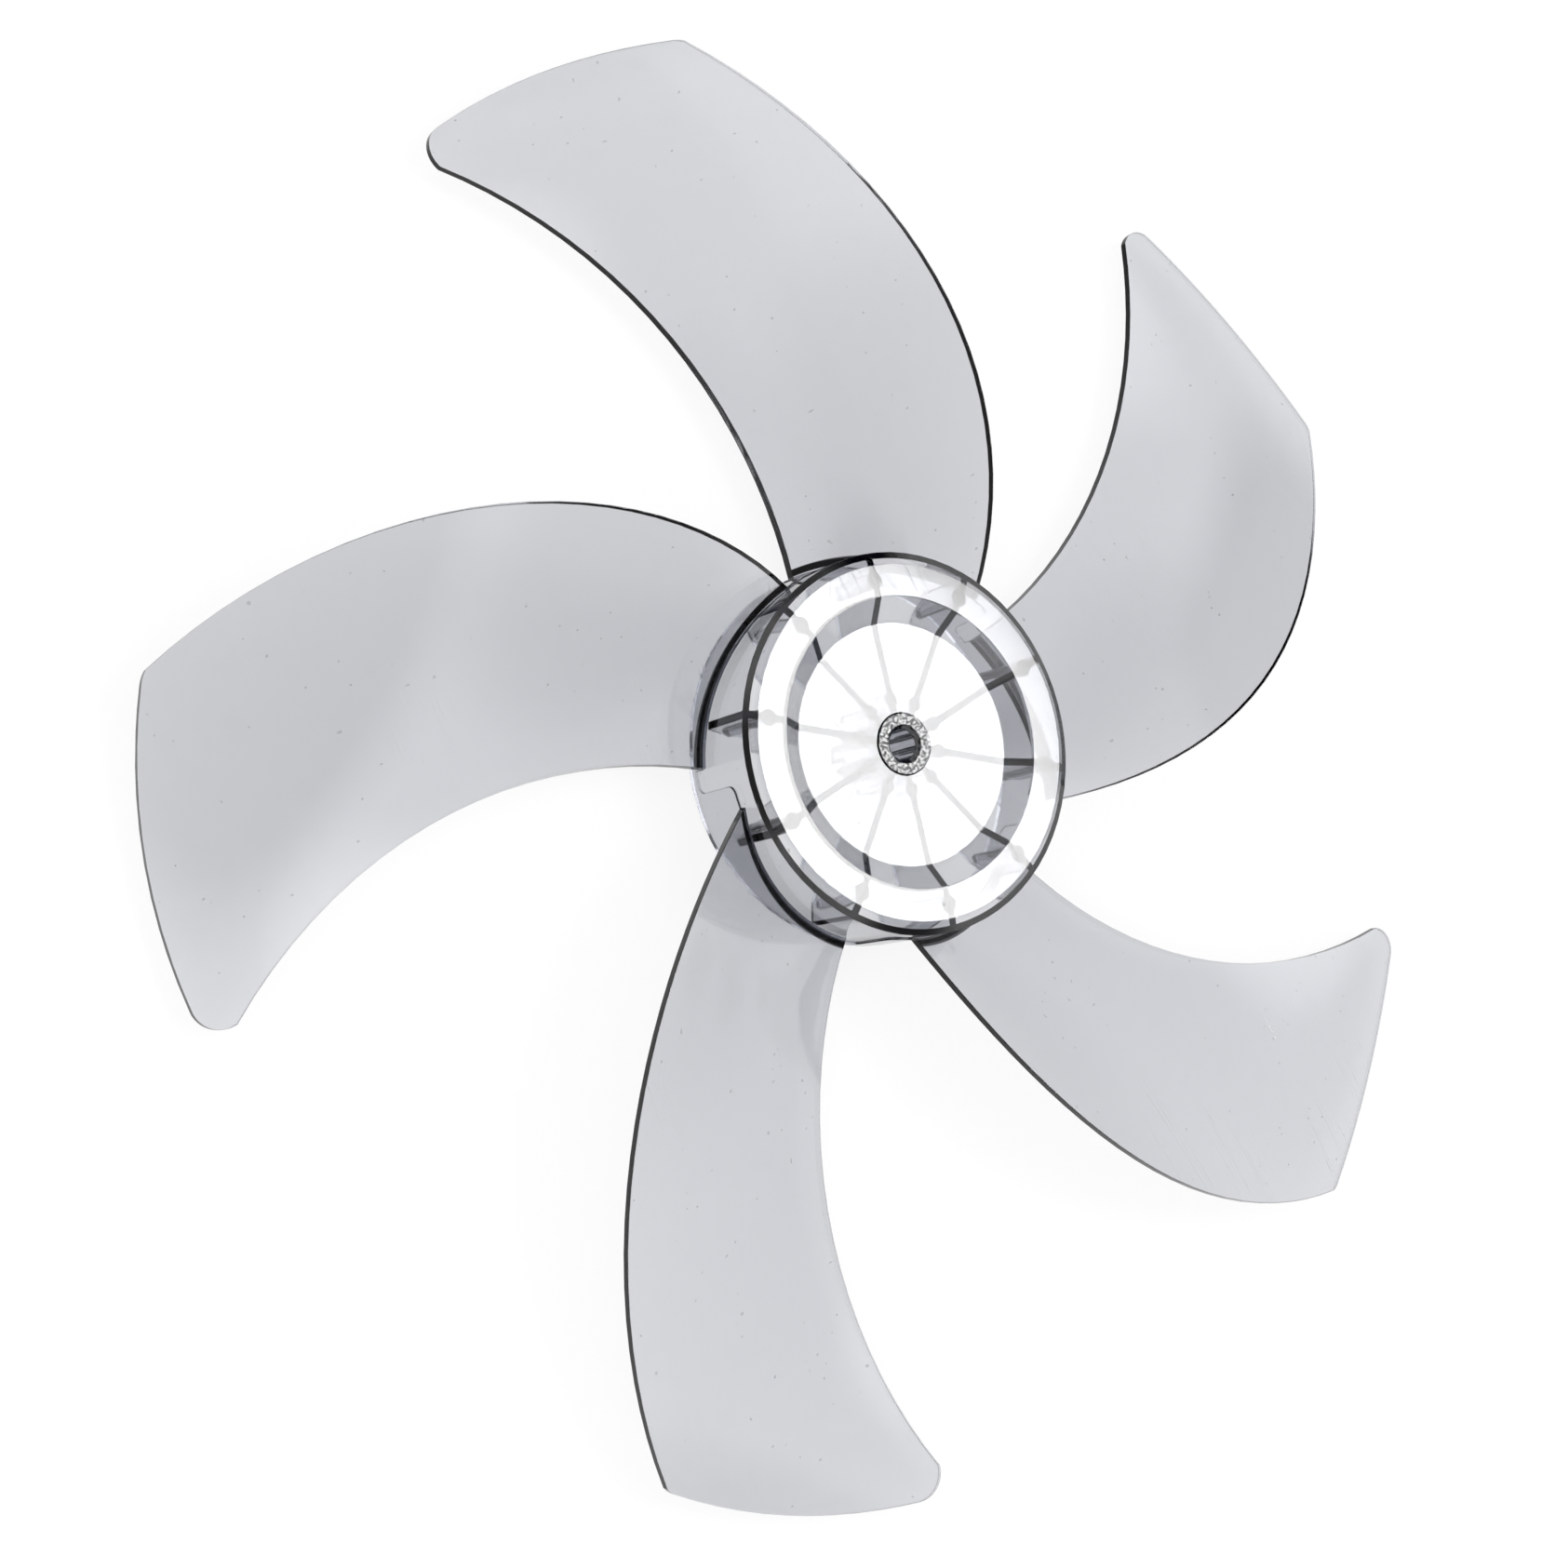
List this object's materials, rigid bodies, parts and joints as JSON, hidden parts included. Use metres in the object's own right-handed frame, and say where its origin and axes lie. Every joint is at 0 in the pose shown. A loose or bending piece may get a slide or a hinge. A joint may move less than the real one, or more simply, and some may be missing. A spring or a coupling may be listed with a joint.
{
  "type": "pedestal fan blade",
  "caption": "Moulded fan impeller in clear smoke-grey plastic: swept twisted blades round a ribbed hub cup with a sunk front disc and a bored boss for the motor shaft.",
  "frame": {"origin": "on the shaft axis, in the plane of the hub's open rear rim, where the motor shaft enters the boss", "axes": "+Z along the shaft axis towards the front, the way the air leaves; +X along one of the ribs inside the hub"},
  "size_m": [0.3964, 0.3878, 0.0345],
  "materials": {
    "smoke_plastic": "clear smoke-grey styrene plastic, polished mould finish, see-through"
  },
  "bodies": {
    "root": {"fan_blade": "smoke_plastic"}
  },
  "joints": []
}
